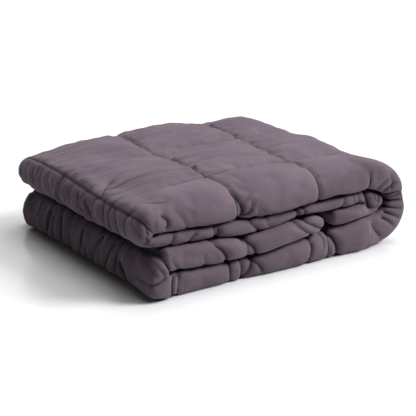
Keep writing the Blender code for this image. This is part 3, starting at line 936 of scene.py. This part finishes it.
def clothMaterial():
    material = bpy.data.materials.new("mauveMicrofibre")
    material.use_nodes = True
    tree = material.node_tree
    shader = tree.nodes["Principled BSDF"]
    shader.inputs["Roughness"].default_value = cloth["roughness"]
    shader.inputs["Specular IOR Level"].default_value = cloth["specular"]
    shader.inputs["Sheen Weight"].default_value = cloth["sheen"]
    shader.inputs["Sheen Roughness"].default_value = cloth["sheenRoughness"]
    shader.inputs["Sheen Tint"].default_value = cloth["sheenTint"]
    where = addNode(tree, "ShaderNodeTexCoord").outputs["Object"]
    patches = addNode(tree, "ShaderNodeTexNoise", [
        ("Vector", where), ("Scale", cloth["patchScale"]), ("Detail", cloth["patchDetail"])])
    spread = addNode(tree, "ShaderNodeMapRange", [
        ("Value", patches.outputs["Fac"]),
        ("From Min", cloth["patchFrom"]), ("From Max", cloth["patchTo"])])
    mixed = addNode(tree, "ShaderNodeMix", [("Factor", spread.outputs["Result"])], data_type="RGBA")
    mixed.inputs["A"].default_value = cloth["colour"]
    mixed.inputs["B"].default_value = cloth["wornColour"]
    # darker along a sewn line: partly the thread's dark line, partly painted shade in the seam's groove
    seam = addNode(tree, "ShaderNodeAttribute", attribute_name="seam")
    seamThreadAndShade = addNode(tree, "ShaderNodeMapRange", [
        ("Value", seam.outputs["Fac"]), ("From Max", cloth["seamReach"]), ("To Min", cloth["seamThreadAndShadeLight"])])
    # painted shade of the folds and the cleft darkens the colour here
    creaseShade = addNode(tree, "ShaderNodeAttribute", attribute_name="creaseShade")
    shadeFactor = addNode(tree, "ShaderNodeMapRange", [
        ("Value", creaseShade.outputs["Fac"]), ("To Min", 1.0), ("To Max", 1 - cloth["creaseShadeStrength"])])
    # the sewn lines' darkening and the painted shade of folds and cleft together scale the colour
    lightness = addNode(tree, "ShaderNodeMath", operation="MULTIPLY")
    tree.links.new(seamThreadAndShade.outputs["Result"], lightness.inputs[0])
    tree.links.new(shadeFactor.outputs["Result"], lightness.inputs[1])
    shaded = addNode(tree, "ShaderNodeVectorMath", [
        ("Vector", mixed.outputs["Result"]), ("Scale", lightness.outputs[0])], operation="SCALE")
    tree.links.new(shaded.outputs["Vector"], shader.inputs["Base Color"])
    nap = addNode(tree, "ShaderNodeTexNoise", [
        ("Vector", where), ("Scale", cloth["napScale"]), ("Detail", cloth["napDetail"])])
    soft = addNode(tree, "ShaderNodeBump", [
        ("Height", nap.outputs["Fac"]),
        ("Strength", cloth["napStrength"]), ("Distance", cloth["napHeight"])])
    laid = addNode(tree, "ShaderNodeUVMap", uv_map="cloth")
    weave = addNode(tree, "ShaderNodeTexBrick", [
        ("Vector", laid.outputs["UV"]), ("Scale", cloth["threadsPerMetre"])])
    woven = addNode(tree, "ShaderNodeBump", [
        ("Height", weave.outputs["Fac"]), ("Strength", cloth["weaveStrength"]),
        ("Distance", cloth["weaveHeight"]), ("Normal", soft.outputs["Normal"])], invert=True)
    tree.links.new(woven.outputs["Normal"], shader.inputs["Normal"])
    return material


def plainMaterial(name, colour, roughness):
    material = bpy.data.materials.new(name)
    material.use_nodes = True
    shader = material.node_tree.nodes["Principled BSDF"]
    shader.inputs["Base Color"].default_value = colour
    shader.inputs["Roughness"].default_value = roughness
    return material


thread = {
    "halfLength": 1.15,
    "halfWidth": 0.42,
    "halfHeight": 0.36,
    "raised": 0.35,
    "onSeam": 0.05,  # a point this near a sewn line lies on it
    "colour": (0.060, 0.042, 0.054, 1.0),
    "roughness": 0.6,
}


def makeStitches(piece):
    # one stitch on each short stretch of a sewn line that shows
    mesh = piece.data
    onSeam = (readFloats(mesh, "seam") < thread["onSeam"] * mm) & ~whereHidden(mesh)
    points, normals = readPoints(mesh), readNormals(mesh)
    pairs = np.empty(len(mesh.edges) * 2, int)
    mesh.edges.foreach_get("vertices", pairs)
    pairs = pairs.reshape(-1, 2)
    bm = bmesh.new()
    sizes = Vector((thread["halfLength"], thread["halfWidth"], thread["halfHeight"])) * mm
    for first, second in pairs[onSeam[pairs].all(axis=1)]:
        along = Vector(points[second] - points[first]).normalized()
        up = Vector(normals[first] + normals[second]).normalized()
        across = up.cross(along).normalized()
        middle = Vector(points[first] + points[second]) / 2 + up * thread["raised"] * mm
        axes = Matrix((along * sizes.x, across * sizes.y, across.cross(along) * -sizes.z))
        turn = axes.transposed().to_4x4()
        bmesh.ops.create_icosphere(bm, subdivisions=1, radius=1.0, matrix=Matrix.Translation(middle) @ turn)
    bmesh.ops.recalc_face_normals(bm, faces=bm.faces)
    stitches = makeObject(bm, "quiltStitches")
    stitches.data.materials.append(plainMaterial("sewingThread", thread["colour"], thread["roughness"]))
    print("stitches", len(stitches.data.polygons), "faces")
    return stitches


blanket = makeObject(buildShell(), "quiltedBlanket")
settle(blanket)
print("shell", len(blanket.data.vertices), "points")
hold = pressFolds(blanket.data, folding["firstShare"], folding["firstRound"], folding["firstWidth"])[0]
puffUp(blanket, hold)
halveSpacing(blanket)
addDetail(blanket)
blanket.data.materials.append(clothMaterial())
print("blanket", len(blanket.data.polygons), "faces")
stitches = makeStitches(blanket)

Light = namedtuple("Light", "name place width height power")
studio = {
    "floorSize": 14.0,  # metres here
    "floorColour": (0.79, 0.79, 0.80, 1.0),
    "floorRoughness": 0.18,
    "azimuth": -33.64,
    "elevation": 17.63,
    "cameraPlace": (-1.0276, -1.5409, 0.6303),
    "lens": 108.5,
    "lightAim": (0.0, 0.0, 0.06),
    "lights": (
        Light("overhead", (1.5, 0.9, 5.8), 5.5, 5.5, 350),
        Light("key", (5.2, -3.0, 4.8), 3.4, 3.4, 780),
        Light("backdrop", (1.0, 7.0, 1.6), 16.0, 4.0, 120),
    ),
    "worldColour": (0.9, 0.9, 0.92, 1.0),
    "worldStrength": 0.04,
}


def makeFloor():
    bm = bmesh.new()
    bmesh.ops.create_grid(bm, x_segments=1, y_segments=1, size=studio["floorSize"] / 2)
    floor = makeObject(bm, "studioFloor")
    floor.data.materials.append(plainMaterial("paleFloor", studio["floorColour"], studio["floorRoughness"]))
    return floor


def makeCamera():
    data = bpy.data.cameras.new("camera")
    data.lens = studio["lens"]
    camera = bpy.data.objects.new("camera", data)
    camera.location = studio["cameraPlace"]
    azimuth, elevation = math.radians(studio["azimuth"]), math.radians(studio["elevation"])
    level = math.cos(elevation)
    ahead = Vector((-math.sin(azimuth) * level, math.cos(azimuth) * level, -math.sin(elevation)))
    camera.rotation_euler = ahead.to_track_quat("-Z", "Y").to_euler()
    bpy.context.scene.collection.objects.link(camera)
    bpy.context.scene.camera = camera


def makeLight(row):
    data = bpy.data.lights.new(row.name, "AREA")
    data.shape = "ELLIPSE"
    data.size = row.width
    data.size_y = row.height
    data.energy = row.power
    light = bpy.data.objects.new(row.name, data)
    light.location = row.place
    towards = Vector(studio["lightAim"]) - Vector(row.place)
    light.rotation_euler = towards.to_track_quat("-Z", "Y").to_euler()
    bpy.context.scene.collection.objects.link(light)


def makeWorld():
    world = bpy.data.worlds.new("studio")
    world.use_nodes = True
    shader = world.node_tree.nodes["Background"]
    shader.inputs["Color"].default_value = studio["worldColour"]
    shader.inputs["Strength"].default_value = studio["worldStrength"]
    bpy.context.scene.world = world


floor = makeFloor()
makeCamera()
for row in studio["lights"]:
    makeLight(row)
makeWorld()
bpy.context.scene.view_settings.view_transform = "Standard"
print("studio", len(studio["lights"]), "lights")

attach(blanket, "root")
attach(stitches, "root")
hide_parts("blanket")
